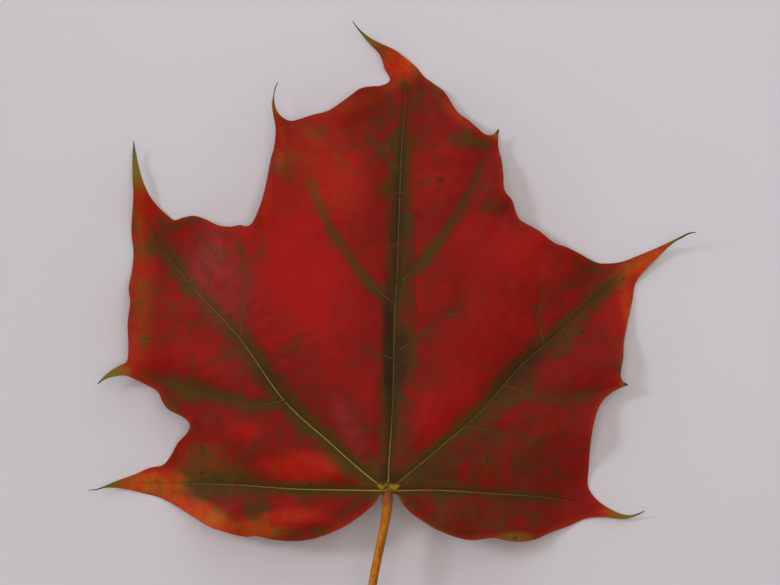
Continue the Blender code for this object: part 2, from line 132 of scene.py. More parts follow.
sideVeins = {
    "topLeft": [
        (1.4, 46.8), (-4.4, 51.5), (-9.5, 58.4), (-14.3, 65.3), (-19.7, 77.4), (-24.5, 87.5),
        (-27.5, 93.5),
    ],
    "topRight": [(2.1, 51.3), (8.6, 57.1), (16.3, 67), (22.3, 78.7), (26.6, 88.5)],
    "topSmallLeft": [(3.2, 79.5), (-1.8, 84.3), (-7.8, 92)],
    "topSmallRight": [(3, 74.2), (6.8, 75.4), (11.6, 79.3)],
    "middleSmallRight": [(1.5, 34.3), (7.5, 38.4), (15.4, 43.9), (19.4, 49.6)],
    "middleSmallLeft": [(1.4, 32.8), (-2.7, 34.4), (-8.1, 36.1)],
    "leftInner": [(-37.1, 38), (-36, 48.2), (-36.6, 58.8), (-38.2, 64.5)],
    "leftTooth": [(-26, 22.4), (-33.8, 21.4), (-46, 24.7), (-59.5, 28.3), (-70, 28.3)],
    "leftOuter": [(-42.6, 43.6), (-50.1, 41.8), (-56, 42.2)],
    "leftUpper": [(-49.3, 51.2), (-49.6, 56.4), (-47.5, 62.6)],
    "rightUpper": [(39, 36.5), (37.3, 43.3), (38.5, 48.4), (37.6, 55)],
    "rightOuter": [(43.8, 40.2), (47.1, 37.2), (53, 36.9)],
    "rightTooth": [(29, 26.2), (37.6, 23.8), (46.5, 23.2), (57.8, 26)],
    "rightSmall": [(19.2, 16.2), (28, 14.5), (34, 13.8)],
    "lowerLeftUpper": [(-38.2, 1.5), (-40.4, 9.9), (-47.1, 12.7)],
    "baseLeft": [(-0.9, 0), (-7.9, -3.2), (-13, -7)],
    "baseRight": [(0.9, 0), (6.3, -3), (11.6, -6.8)],
}

# The smallest veins drawn one by one, which have no rib or groove
twigVeins = {
    "midribStub": [(2.5, 74.1), (0, 75.65)],
    "midribHigh": [(3.6, 85.55), (8.55, 87.3)],
    "middleFork": [(15.35, 43.85), (19.7, 43.3)],
    "leftInnerFork": [(-36.3, 55), (-34, 57.6), (-31.6, 60.2), (-31.4, 63.6)],
    "leftUpperLoop": [(-47.5, 62.6), (-45.6, 64.1), (-42.6, 64.4), (-39.4, 64)],
    "leftLobeFork": [(-46, 49.9), (-43.9, 53.4), (-42.5, 56.7)],
    "lowerLeftA": [(-31.25, 0.5), (-32.35, -3.2)],
    "lowerLeftB": [(-46.8, 1.6), (-47.2, 6.2)],
    "lowerLeftC": [(-43.4, 1.6), (-43.9, -3.4)],
    "lowerLeftD": [(-28.5, 0.8), (-28.2, 5.4)],
    "lowerRightA": [(17, 0.2), (21, -3.6)],
    "lowerRightB": [(33, -1.3), (37.4, 2.4)],
    "rightLobeA": [(24, 20.6), (23.2, 26)],
}

# Shape of the blade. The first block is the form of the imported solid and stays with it.
bladeForm = {
    "domeHalfWidth": 72.0, "domeHalfLength": 110.0, "domeHalfBase": 40.0,
    "domeHeight": 9.4, "domeFoot": 0.88, "edgeClearance": 2.7, "tipCurl": 14.0,
    "mainPillow": (1.5, 8.0), "sidePillow": (0.7, 4.0), "grooveDepth": 0.2,
    "marginWaves": ((0.8, 19.0, 55.0, 0.7), (0.6, 14.0, 140.0, 2.1), (0.4, 24.0, 10.0, 4.0)),
    "waveReach": 7.0, "calmRadius": (4.0, 16.0),
    "restSpots": ((-57.0, 61.5), (-57.5, 1.7), (46.5, -3.2), (56.0, 51.5), (4.0, 99.5)),
    "spotRadius": 2.25, "spotReach": 19.0,
    "mainRib": (0.95, 0.4, 1.1, 0.2), "sideRib": (0.55, 0.35, 0.5, 0.15), "sideGroove": 0.11,
    "ribRoundness": 1.8,
    # Finer form, for the look: spacing of the corners, thin margin, low cushions
    "marginStep": 0.75, "veinStep": 0.85, "fieldStep": 0.85, "fieldJitter": 0.08, "pointGap": 0.27,
    "fieldFromRim": 0.5, "fieldClearance": 0.55, "mainRows": (0.3, 0.62, 0.97), "sideRows": (0.28, 0.56),
    "rimThickness": 0.26, "bodyThickness": 0.58, "thinReach": 3.5, "grooveFree": (0.3, 2.6),
    "quiltCell": 5.2, "quiltHeight": 0.14, "quiltEdge": 1.5, "quiltFromVein": (0.4, 2.5),
    "quiltFromRim": 2.0, "quiltUnder": 0.5, "netCell": 2.3, "netHeight": 0.035, "netEdge": 0.8,
    "seedRow": 0.87, "seedRows": 1.15, "seedJitter": 0.36,
    # Green beside the veins: edge and end of the bands, reach of the core, and a twig's green
    "bandEdge": 2.2, "bandFade": 0.2, "coreReach": (0.3, 1.7), "twigWidth": 0.9, "twigGreen": (0.6, 0.35),
}

# How much darker the middle of a vein's green is
veinCores = {"midrib": 0.42, "leftLobe": 0.14, "rightLobe": 0.16, "lowerLeft": 0.25, "lowerRight": 0.35}

# Green left along each vein: half width at the foot and at the end in mm, strength at the foot
# and at the end, and the share of the vein's length where it has faded out
veinBands = {
    "midrib": (3.4, 2.9, 0.92, 0.85, 0.92), "leftLobe": (3.6, 2.9, 0.95, 0.86, 0.92),
    "rightLobe": (2.8, 2.7, 0.92, 0.84, 0.98), "lowerLeft": (2, 3, 0.9, 0.8, 0.92),
    "lowerRight": (2.8, 2.3, 0.9, 0.62, 0.85),
    "topLeft": (1.7, 1.5, 0.82, 0.5, 0.82), "topRight": (2.1, 1.5, 0.88, 0.56, 1),
    "topSmallLeft": (1.8, 1.7, 0.6, 0.42, 1), "topSmallRight": (1.3, 0.9, 0.5, 0.3, 1),
    "middleSmallRight": (2.4, 2.2, 0.72, 0.3, 1), "middleSmallLeft": (1.8, 1.3, 0.62, 0.4, 1),
    "leftInner": (1.2, 1.1, 0.66, 0.5, 1), "leftTooth": (2.5, 2.4, 0.92, 0.55, 0.88),
    "leftOuter": (1.7, 2, 0.5, 0.3, 1), "leftUpper": (1.5, 1.7, 0.45, 0.3, 1),
    "rightUpper": (1.4, 1.2, 0.6, 0.25, 0.9), "rightOuter": (1.4, 1.5, 0.66, 0.34, 1),
    "rightTooth": (2.2, 2, 0.7, 0.5, 0.95), "rightSmall": (2, 1.6, 0.7, 0.4, 1),
    "lowerLeftUpper": (1.4, 1.4, 0.4, 0.3, 1), "baseLeft": (1.7, 1.5, 0.7, 0.4, 1),
    "baseRight": (1.9, 1.6, 0.8, 0.45, 1),
}


def smoothLine(points, step):
    # Catmull-Rom line through every point, cut about every step
    knots = [np.array(p, dtype=float) for p in points]
    knots = [2 * knots[0] - knots[1]] + knots + [2 * knots[-1] - knots[-2]]
    line = [knots[1]]
    for a, b, c, d in zip(knots, knots[1:], knots[2:], knots[3:]):
        pieces = max(1, math.ceil(np.linalg.norm(c - b) / step))
        for t in np.arange(1, pieces + 1) / pieces:
            line.append(0.5 * (2 * b + (c - a) * t + (2 * a - 5 * b + 4 * c - d) * t ** 2
                               + (3 * b - a - 3 * c + d) * t ** 3))
    return np.array(line)


def smoothStep(low, high, value):
    t = np.clip((value - low) / (high - low), 0.0, 1.0)
    return t * t * (3.0 - 2.0 * t)


def between(first, last, share):
    return first + (last - first) * share


def nearestOnLine(points, line):
    # Distance from the line and the share of its length where the nearest place is
    start = line[:-1]
    run = line[1:] - start
    length = np.linalg.norm(run, axis=1)
    along = np.concatenate(([0.0], np.cumsum(length)))
    distances, shares = [], []
    for part in np.array_split(points, len(points) * len(line) // 3000000 + 1):
        offset = part[:, None, :] - start[None, :, :]
        t = np.clip((offset * run).sum(axis=2) / length ** 2, 0.0, 1.0)
        away = np.linalg.norm(offset - t[:, :, None] * run, axis=2)
        best = away.argmin(axis=1)
        rows = np.arange(len(part))
        distances.append(away[rows, best])
        shares.append((along[best] + t[rows, best] * length[best]) / along[-1])
    return np.concatenate(distances), np.concatenate(shares)


def insideOutline(points, outline):
    crossings = np.zeros(len(points), dtype=int)
    for a, b in zip(outline, np.roll(outline, -1, axis=0)):
        if a[1] == b[1]:
            continue
        spans = (points[:, 1] >= min(a[1], b[1])) & (points[:, 1] < max(a[1], b[1]))
        cut = a[0] + (points[:, 1] - a[1]) / (b[1] - a[1]) * (b[0] - a[0])
        crossings += spans & (cut > points[:, 0])
    return crossings % 2 == 1


def smoothLines(lines, step):
    return {name: smoothLine(points, step) for name, points in lines.items()}


outline = np.concatenate([*smoothLines(marginStretches, bladeForm["marginStep"]).values()])
closedOutline = np.vstack((outline, outline[:1]))
mainLines, sideLines, twigLines = (smoothLines(veins, bladeForm["veinStep"])
                                   for veins in (mainVeins, sideVeins, twigVeins))

# The plan's zero point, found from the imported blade's box
bladeLow, bladeHigh = (np.array(corner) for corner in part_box("leaf_blade"))
jointPlace = np.array((
    (bladeLow[0] + bladeHigh[0]) / 2 - mm * (outline[:, 0].min() + outline[:, 0].max()) / 2,
    bladeHigh[1] - mm * outline[:, 1].max(),
    0.0,
))
print("joint of the ribs at", jointPlace.round(5))


def sideRows(line, offsets):
    tangent = np.gradient(line, axis=0)
    tangent /= np.linalg.norm(tangent, axis=1)[:, None]
    normal = np.stack((-tangent[:, 1], tangent[:, 0]), axis=1)
    rows = [line] + [line + normal * side * offset for offset in offsets for side in (1, -1)]
    return np.concatenate(rows)


def planPoints():
    # Places of the blade's corners: margin first, then rows along the ribs, then the fields
    gap = bladeForm["pointGap"]
    kept = [tuple(p) for p in outline]
    cells = {}

    def cellOf(p):
        return math.floor(p[0] / gap), math.floor(p[1] / gap)

    for p in kept:
        cells.setdefault(cellOf(p), []).append(p)

    def addPoints(points, clearance):
        reach = math.ceil(clearance / gap)
        for x, y in points:
            cx, cy = cellOf((x, y))
            near = (q for i in range(cx - reach, cx + reach + 1)
                    for j in range(cy - reach, cy + reach + 1) for q in cells.get((i, j), ()))
            if all((q[0] - x) ** 2 + (q[1] - y) ** 2 >= clearance ** 2 for q in near):
                kept.append((x, y))
                cells.setdefault((cx, cy), []).append((x, y))

    rows = [sideRows(line, bladeForm["mainRows"]) for line in mainLines.values()]
    rows += [sideRows(line, bladeForm["sideRows"]) for line in sideLines.values()]
    rows = np.concatenate(rows)
    rows = rows[insideOutline(rows, outline)]
    addPoints(rows[nearestOnLine(rows, closedOutline)[0] > gap], gap)

    step = bladeForm["fieldStep"]
    low, high = outline.min(axis=0), outline.max(axis=0)
    grid = []
    for j, v in enumerate(np.arange(low[1], high[1], step * math.sqrt(0.75))):
        u = np.arange(low[0] + (j % 2) * step / 2, high[0], step)
        grid.append(np.stack((u, np.full_like(u, v)), axis=1))
    grid = np.concatenate(grid)
    jitter = bladeForm["fieldJitter"]
    grid += random.uniform(-jitter, jitter, grid.shape)
    grid = grid[insideOutline(grid, outline)]
    grid = grid[nearestOnLine(grid, closedOutline)[0] > step * bladeForm["fieldFromRim"]]
    addPoints(grid, step * bladeForm["fieldClearance"])
    return np.array(kept)


def quilt(points, cell, edge):
    # Low cushions between the finest veins: 0 on the lines between cells, 1 inside them
    low, high = points.min(axis=0) - cell, points.max(axis=0) + cell
    count = ((high - low) / cell).astype(int) + 1
    seeds = [(low[0] + (i + 0.5 * (j % 2)) * cell, low[1] + j * cell * bladeForm["seedRow"])
             for j in range(int(count[1] * bladeForm["seedRows"])) for i in range(count[0])]
    jitter = bladeForm["seedJitter"]
    seeds = np.array(seeds) + random.uniform(-jitter, jitter, (len(seeds), 2)) * cell
    tree = KDTree(len(seeds))
    for index, (x, y) in enumerate(seeds):
        tree.insert((x, y, 0.0), index)
    tree.balance()
    toLine = np.empty(len(points))
    for index, (x, y) in enumerate(points):
        first, second = tree.find_n((x, y, 0.0), 2)
        toLine[index] = second[2] - first[2]
    return 1.0 - np.exp(-(toLine / edge) ** 2)


def bladeShape(points):
    # Heights of the two faces and the distances that the colours are laid out by
    form = bladeForm
    half = np.where(points[:, 1] > 0.0, form["domeHalfLength"], form["domeHalfBase"])
    reach = np.hypot(points[:, 0] / form["domeHalfWidth"], points[:, 1] / half)
    height = form["edgeClearance"] + form["domeHeight"] * (1 - smoothStep(0, form["domeFoot"], reach))
    height += form["tipCurl"] * np.clip(reach - form["domeFoot"], 0.0, None) ** 2

    radius = np.linalg.norm(points, axis=1)
    calm = smoothStep(*form["calmRadius"], radius)
    toMargin = nearestOnLine(points, closedOutline)[0]
    wave = np.zeros(len(points))
    for size, length, heading, phase in form["marginWaves"]:
        direction = np.array((math.cos(math.radians(heading)), math.sin(math.radians(heading))))
        wave += size * np.sin(fullTurn * (points @ direction) / length + phase)
    height += wave * calm * np.exp(-toMargin / form["waveReach"])

    rib, groove, band, core = (np.zeros(len(points)) for k in range(4))
    reachOf = {kind: np.full(len(points), np.inf) for kind in ("main", "side")}
    for kind, lines, deep in (("main", mainLines, "grooveDepth"), ("side", sideLines, "sideGroove")):
        footHalf, endHalf, footHigh, endHigh = form[kind + "Rib"]
        for name, line in lines.items():
            distance, share = nearestOnLine(points, line)
            crown = np.clip(1 - distance / between(footHalf, endHalf, share), 0.0, 1.0)
            rounded = 1 - (1 - crown) ** form["ribRoundness"]
            rib = np.maximum(rib, between(footHigh, endHigh, share) * rounded)
            groove = np.maximum(groove, form[deep] * crown)
            reachOf[kind] = np.minimum(reachOf[kind], distance)
            footWidth, endWidth, footGreen, endGreen, out = veinBands[name]
            green = between(footGreen, endGreen, share) * (1 - smoothStep(out - form["bandFade"], out, share))
            width = between(footWidth, endWidth, share)
            band = np.maximum(band, green * np.exp(-(distance / width) ** form["bandEdge"]))
            core = np.maximum(core, veinCores.get(name, 0.0) * (1 - smoothStep(*form["coreReach"], distance)))
    for line in twigLines.values():
        distance, share = nearestOnLine(points, line)
        green = between(*form["twigGreen"], share)
        band = np.maximum(band, green * np.exp(-(distance / form["twigWidth"]) ** 2))
    groove *= smoothStep(*form["grooveFree"], toMargin)
    toAny = np.minimum(reachOf["main"], reachOf["side"])
    for (size, width), distance in ((form["mainPillow"], reachOf["main"]), (form["sidePillow"], toAny)):
        height += size * calm * (1 - np.exp(-(distance / width) ** 2))

    for spot in form["restSpots"]:
        away = np.linalg.norm(points - np.array(spot), axis=1)
        height *= smoothStep(form["spotRadius"], form["spotReach"], away)
    rib *= smoothStep(0.0, form["edgeClearance"], height)

    cushions = form["quiltHeight"] * quilt(points, form["quiltCell"], form["quiltEdge"])
    cushions += form["netHeight"] * quilt(points, form["netCell"], form["netEdge"])
    cushions *= smoothStep(*form["quiltFromVein"], toAny) * smoothStep(0.0, form["quiltFromRim"], toMargin)
    inwards = smoothStep(0.0, form["thinReach"], toMargin)
    thickness = between(form["rimThickness"], form["bodyThickness"], inwards)
    raised = smoothStep(0.0, form["edgeClearance"], height)
    lower = height - rib + form["quiltUnder"] * cushions * raised
    upper = height + thickness - groove + cushions - form["quiltHeight"]
    measures = {"toMain": reachOf["main"], "toSide": reachOf["side"], "toMargin": toMargin,
                "band": band, "core": core}
    return lower, upper, measures


# Soft areas of the upper face: place, half sizes in mm, turn in degrees, strength
colourAreas = {
    "green": [
        # left lobe
        (-50, 49, 18, 20, 0, 0.25), (-60, 60, 4, 2.6, 0, 0.62), (-62, 68, 2.2, 5, 0, 0.5),
        (-55, 66, 4.5, 2.2, -10, 0.45), (-45, 58, 6, 4.5, 0, 0.42), (-35, 52, 2, 7, 0, 0.45),
        (-30.5, 59, 2, 3, 20, 0.34), (-60.5, 50, 3.6, 3, 0, 0.3), (-62.5, 44, 2, 4, 0, 0.38),
        (-61, 37, 2, 2.5, 0, 0.45), (-49, 25, 4.6, 3.4, 0, 0.85), (-38, 22.5, 9, 2, -5, 0.7),
        (-54, 22, 2.6, 3.4, 0, 0.6), (-40, 30.5, 14, 4, -6, 0.28), (-48, 67, 5, 1.6, 0, 0.55),
        # lower left lobe
        (-43, 2, 12, 4.6, 0, 0.85), (-42, -7, 9, 4, -15, 0.27), (-45, 7.6, 6, 5, 20, 0.68),
        (-59, 1, 7, 3.4, 0, 0.34), (-33, -4, 4, 5, 0, 0.7), (-28, -10.5, 9, 2, 0, 0.42),
        (-17, -9.5, 3, 1.8, 0, 0.5), (-44, 15, 6, 5, 0, 0.3), (-28, 13, 14, 6, -20, 0.3),
        (-36, 8, 4.6, 5, 0, 0.4), (-21, -3.2, 4, 0.9, 4, 0.62),
        # beside the midrib, and between it and the left lobe
        (-13, 19, 14, 9, -48, 0.32), (-20, 33, 9, 6, -40, 0.24), (-24, 36.2, 6, 1.5, 46, 0.5),
        (4.6, 35, 3, 11, 0, 0.72), (9.5, 31, 3, 10, -10, 0.3), (4, 14, 3, 10, -10, 0.6),
        (-3.6, 7, 2.4, 4, 35, 0.62), (4.9, 64, 1.9, 24, 2, 0.64), (-39.6, 36, 3, 4, 0, 0.6),
        # lower right lobe
        (28, 8, 22, 13, 0, 0.43), (24, -6, 18, 6, 0, 0.5), (45, 10, 6, 14, 0, 0.32),
        (39, 23.6, 10, 2.8, -5, 0.62), (10, 4, 9, 5, 25, 0.8), (20, 15.5, 6, 3, 40, 0.62),
        (32, -11.6, 5, 1.4, 0, 0.72), (13, 2.4, 6, 2.4, 0, 0.74), (12.5, -2.2, 5, 1.8, 0, 0.6),
        (30, -8.5, 3, 3, 0, 0.5), (34, 15, 2, 2, 0, 0.6),
        # right lobe
        (28.5, 21.5, 12, 2.8, 41, 0.68), (44, 37, 9, 2.6, 41, 0.6), (41, 50, 11, 5, 20, 0.34),
        (50, 36, 9, 9, 0, 0.22), (37.5, 46, 2, 4, 0, 0.4), (58.2, 31, 1.2, 4, 0, 0.5),
        (50.5, 55.6, 5, 2.2, 0, 0.56), (47, 52, 5, 2.5, 0, 0.38),
        # middle lobe
        (-2, 95, 5, 6, 0, 0.38), (9, 97, 5.5, 6, 0, 0.4), (9, 89, 4, 5, 0, 0.36),
        (18, 87.6, 3.2, 2.8, 0, 0.8), (23, 86.6, 3, 2, 0, 0.74), (3, 86, 4.2, 3, 0, 0.75),
        (-16, 88, 10, 5, 10, 0.2), (-25.5, 81, 3.6, 5, 0, 0.44), (25, 79, 3, 9, 0, 0.3),
        (26, 70.5, 5, 2, 0, 0.36), (-7, 87, 3, 7, 35, 0.3), (12, 101, 3, 4, -40, 0.4),
        (8, 104.5, 2.4, 3, -40, 0.4), (-1, 109, 3, 3, 0, 0.36), (4, 101, 1.6, 1.8, 0, 0.45),
        (21, 47, 5, 4, 40, 0.3), (0, 75, 2, 4, 0, 0.5), (-17.5, 89.6, 5, 1.8, 18, 0.36),
        (-11.8, 82.8, 3.2, 1, -45, 0.5), (-21, 91.2, 3, 1, 10, 0.4),
    ],
    "clear": [
        (-21, 56, 11, 19, 4, 1), (27, 58, 15, 7.5, -28, 1), (24, 42, 9, 12, -20, 0.9),
        (13, 20, 5, 9, -35, 0.9), (-8, 45, 5, 9, 0, 0.8), (-21, 6, 8.5, 3.2, 0, 1),
        (-35, 15, 5, 2.4, 0, 0.7), (-46, 37, 6, 3, 0, 0.45), (-58, 33, 5, 2.4, 0, 0.6),
        (-60, 56, 2.4, 2.4, 0, 0.7), (-60.5, 72, 2, 5, 0, 0.6), (-40, 66, 8, 2, 0, 0.7),
        (-22, -6, 9, 2.4, 5, 0.8), (48.5, 8, 2.2, 12, 0, 0.4), (47, -3.5, 7, 2.6, -10, 0.4),
        (33, -8, 2, 1.8, 0, 0.7), (3.6, 105, 2.4, 2, 0, 0.9), (-6, 26, 3, 5, 0, 0.5),
    ],
    "warm": [
        (-63.5, 50, 4, 28, 0, 0.3), (-62.6, 72, 1.8, 12, 0, 0.4), (-60, 1.6, 10, 3.2, 0, 1),
        (-49, -5.6, 12, 3.2, -22, 1), (-48, 7, 8, 6, 0, 0.18), (-25, -6.4, 8, 1.6, 5, 0.5),
        (-35, -9.5, 9, 2.6, 0, 0.56), (-12, 95.8, 11, 2.2, 20, 0.22), (-27.5, 88, 2, 8, 5, 0.34),
        (-20, 86, 8, 8, 0, 0.2), (3, 107.5, 4.5, 4.5, 0, 0.9), (65, 58, 8, 3.4, 38, 0.8),
        (60.6, 45, 2, 10, 8, 0.5), (-30.5, 76, 1.6, 10, 0, 0.2), (-0.5, 101.5, 3.5, 1.6, 0, 0.3),
        (31.5, -11.9, 4.4, 1.3, 0, 0.7), (58, -5.6, 5, 1.6, 0, 0.6), (17, 94.5, 1.6, 5, 45, 0.26),
        (-21, 6, 9, 3, 0, 0.25), (-14, 78, 8, 8, 0, 0.2), (-69, 29.5, 5, 1.6, 10, 0.8),
    ],
    "bright": [
        (-22, 56, 13, 19, 8, 1), (-48, 35, 9, 5, 0, 0.75), (-44, 54, 9, 12, 10, 0.7),
        (-53, 47, 7, 12, 0, 0.6), (-62, 45, 5, 14, 0, 0.5), (31, 61, 13, 6.5, -28, 0.7),
        (-21, 6.5, 8, 3.5, 0, 1), (-36, 15, 6, 3, 0, 0.7), (-15, 78, 9, 13, 0, 0.8),
        (15, 22, 6, 11, -36, 0.5), (-39, 64, 7, 3.5, 0, 0.8), (-57, 34, 6, 4, 0, 0.5),
        (14, 79, 6, 8, 0, 0.4), (-60, 72, 3, 6, 0, 0.7), (58, 44, 4, 10, 10, 0.6),
        (-60, 55, 3, 4, 0, 0.6),
    ],
    # Painted sheen: pale greyish-pink patches where the waxy face's gloss catches the light
    "paintedSheen": [
        (-42, 53, 6.5, 12, 15, 1), (-10, 16, 2.6, 7, 25, 0.8), (-38, 32, 5, 3.5, 0, 0.35),
    ],
    # Darker areas: painted shade on the shaded wall beside the midrib and some ribs, and a few real dark
    # specks
    "dark": [
        (0, 36, 1.3, 16, 0, 1), (3.4, 33, 1.6, 9, 0, 0.6), (1.9, 64, 1.4, 14, 0, 0.5),
        (3.6, 84, 2.2, 8, 0, 0.15), (4.6, 62, 1.8, 24, 2, 0.22), (-28, 26, 3, 8, 40, 0.35),
        (33, 30.5, 9, 3, 42, 0.6), (13, 77.5, 0.9, 0.7, 0, 0.7), (12.5, 75, 0.7, 0.6, 0, 0.5),
        (7.5, 68.8, 0.7, 0.8, 0, 0.66), (28.8, 70.8, 0.7, 0.7, 0, 0.6), (-0.9, 4, 1.2, 3, 0, 0.5),
        (2.2, 3, 1.6, 2.6, -30, 0.6), (16, 8, 12, 3, 30, 0.35),
    ],
}

# The green left all over, how much of it a clear area takes away, and the soft edges of the areas
areaForm = {
    "baseGreen": 0.14, "clearShare": 0.9, "softEdge": (0.35, 1.65), "oliveEdge": (0.45, 1.0),
    "darkEdge": (0.6, 1.2), "knuckleFull": 0.3,
}

# Tips and teeth, each with the reach over which it turns olive and then dark
tipPlaces = [
    (64.2, -5.4, 11, 2.6), (76.7, 64.4, 9.5, 4.6), (-8.9, 117.2, 11.5, 3.4), (-27.4, 102, 9, 5),
    (-63.6, 87.3, 15, 1.3), (-72.6, 26.6, 10, 1.3), (-75, 0, 11, 3.6), (59.9, 26.4, 2.2, 0.9),
    (27.7, 90.3, 3, 1.1),
]


def areaMask(points, areas):
    mask = np.zeros(len(points))
    for x, y, halfX, halfY, turn, strength in areas:
        c, s = math.cos(math.radians(turn)), math.sin(math.radians(turn))
        dx, dy = points[:, 0] - x, points[:, 1] - y
        away = np.hypot((dx * c + dy * s) / halfX, (dy * c - dx * s) / halfY)
        mask = np.maximum(mask, strength * (1 - smoothStep(*areaForm["softEdge"], away)))
    return mask


def tipMasks(points):
    olive, dark = np.zeros(len(points)), np.zeros(len(points))
    for x, y, oliveReach, darkReach in tipPlaces:
        away = np.hypot(points[:, 0] - x, points[:, 1] - y)
        olive = np.maximum(olive, 1 - smoothStep(*areaForm["oliveEdge"], away / oliveReach))
        dark = np.maximum(dark, 1 - smoothStep(*areaForm["darkEdge"], away / darkReach))
    return olive, dark


# Low swellings where the ribs meet over the stalk: place, radius and height in mm
jointSwellings = [
    (-2.3, 1.6, 0.75, 0.2), (-1.4, 0.9, 0.85, 0.26), (-0.4, 1.7, 0.6, 0.16), (0.5, 1.5, 0.6, 0.18),
    (1.35, 0.9, 0.9, 0.28), (2.3, 1.3, 0.8, 0.22),
]


def knuckle(points):
    height = np.zeros(len(points))
    for x, y, size, rise in jointSwellings:
        height += rise * np.exp(-((points[:, 0] - x) ** 2 + (points[:, 1] - y) ** 2) / size ** 2)
    return height


def addAttributes(mesh, values):
    for name, numbers in values.items():
        layer = mesh.attributes.new(name, "FLOAT", "POINT")
        layer.data.foreach_set("value", np.asarray(numbers, dtype=np.float32))


def addObject(name, data):
    made = bpy.data.objects.new(name, data)
    bpy.context.scene.collection.objects.link(made)
    return made


def bladePiece():
    plan = planPoints()
    rim = [(i, (i + 1) % len(outline)) for i in range(len(outline))]
    corners, edges, faces = delaunay_2d_cdt([Vector(p) for p in plan], rim, [], 1, 1e-6)[:3]
    points = np.array([tuple(corner) for corner in corners])
    lower, upper, measures = bladeShape(points)
    bump = knuckle(points)
    upper += bump

    count = len(points)
    vertices = np.empty((2 * count, 3))
    vertices[:, :2] = np.vstack((points, points))
    vertices[:, 2] = np.concatenate((lower, upper))
    vertices = vertices * mm + jointPlace
    lowerFaces, upperFaces, sides = [], [], set()
    for a, b, c in faces:
        ab, ac = points[b] - points[a], points[c] - points[a]
        if ab[0] * ac[1] < ab[1] * ac[0]:
            b, c = c, b
        upperFaces.append((a + count, b + count, c + count))
        lowerFaces.append((c, b, a))
        sides.update(((a, b), (b, c), (c, a)))
    rimFaces = [(a, b, b + count, a + count) for a, b in sorted(sides) if (b, a) not in sides]
    mesh = bpy.data.meshes.new("bladeSkin")
    mesh.from_pydata(vertices.tolist(), [], upperFaces + rimFaces + lowerFaces)
    backIndex = np.zeros(len(mesh.polygons), dtype=np.int32)
    backIndex[len(upperFaces) + len(rimFaces):] = 1
    mesh.polygons.foreach_set("material_index", backIndex)
    fields = {name: areaMask(points, areas) for name, areas in colourAreas.items()}
    green = np.maximum(fields["green"], areaForm["baseGreen"])
    green *= 1 - areaForm["clearShare"] * fields.pop("clear")
    fields["green"] = np.maximum(green, measures.pop("band"))
    fields["tipOlive"], fields["tipDark"] = tipMasks(points)
    fields["knuckle"] = np.clip(bump / areaForm["knuckleFull"], 0.0, 1.0)
    addAttributes(mesh, {name: np.tile(numbers, 2) for name, numbers in {**measures, **fields}.items()})
    mesh.shade_smooth()
    mesh.set_sharp_from_angle(angle=math.radians(60.0))
    print("blade:", count, "plan points,", len(mesh.polygons), "faces")
    return addObject("blade_skin", mesh)


def ringFaces(start, sides):
    # Faces from one ring of corners to the next
    turns = [(j, (j + 1) % sides) for j in range(sides)]
    return [(start + j, start + n, start + sides + n, start + sides + j) for j, n in turns]


def tubeMesh(centres, radii, sides, flat=1.0, closeEnd=True):
    # A tube along the centres; flat below 1 makes it lower than wide
    tangents = np.gradient(centres, axis=0)
    tangents /= np.linalg.norm(tangents, axis=1)[:, None]
    vertices, faces, around, along = [], [], [], []
    length = len(centres)
    for k in range(length):
        side = np.cross(tangents[k], (0.0, 0.0, 1.0))
        side /= np.linalg.norm(side)
        up = np.cross(side, tangents[k])
        for j in range(sides):
            angle = fullTurn * j / sides
            vertices.append(centres[k] + radii[k] * (math.cos(angle) * side + flat * math.sin(angle) * up))
            around.append(angle / fullTurn)
            along.append(k / (length - 1))
    for k in range(length - 1):
        faces += ringFaces(k * sides, sides)
    faces.append(tuple(reversed(range(sides))))
    if closeEnd:
        faces.append(tuple(range((length - 1) * sides, length * sides)))
    return vertices, faces, around, along


# Pale strands of the veins in the grooves of the upper face
strandForm = {
    "mainRadius": (0.28, 0.12), "sideRadius": (0.13, 0.04), "twigRadius": (0.08, 0.04),
    "sides": 6, "flat": 0.7, "taper": 0.7, "sunk": 0.3, "lift": 0.35,
    "shown": {"rightLobe": 0.15, "lowerRight": 0.5},     # share of its own paler colour
    # Share of its length where a strand has sunk away
    "ends": {"midrib": 0.9, "leftLobe": 0.8, "rightLobe": 0.78, "lowerLeft": 0.84, "lowerRight": 0.84,
             "topLeft": 0.62, "topRight": 0.7, "leftTooth": 0.6, "rightTooth": 0.7},
}


def strandPiece():
    vertices, faces = [], []
    marks = {"along": [], "isMain": [], "isMidrib": []}
    for kind, lines in (("main", mainLines), ("side", sideLines), ("twig", twigLines)):
        radiusPair = strandForm[kind + "Radius"]
        for name, line in lines.items():
            inside = insideOutline(line, outline)
            line = line[: len(line) if inside.all() else int(np.argmin(inside))]
            line = line[: math.ceil(len(line) * strandForm["ends"].get(name, 1.0))]
            share = np.linspace(0.0, 1.0, len(line))
            radius = between(*radiusPair, share ** strandForm["taper"])
            height = bladeShape(line)[1] + strandForm["lift"] * knuckle(line) - strandForm["sunk"] * radius
            tube = tubeMesh(np.column_stack((line, height)), radius, strandForm["sides"], strandForm["flat"])
            base = len(vertices)
            vertices += [v * mm + jointPlace for v in tube[0]]
            faces += [tuple(i + base for i in face) for face in tube[1]]
            marks["along"] += tube[3]
            marks["isMain"] += [(kind == "main") * strandForm["shown"].get(name, 1.0)] * len(tube[0])
            marks["isMidrib"] += [float(name == "midrib")] * len(tube[0])
    mesh = bpy.data.meshes.new("veinStrands")
    mesh.from_pydata([tuple(v) for v in vertices], [], faces)
    addAttributes(mesh, marks)
    mesh.shade_smooth()
    print("vein strands:", len(mesh.polygons), "faces")
    return addObject("vein_strands", mesh)


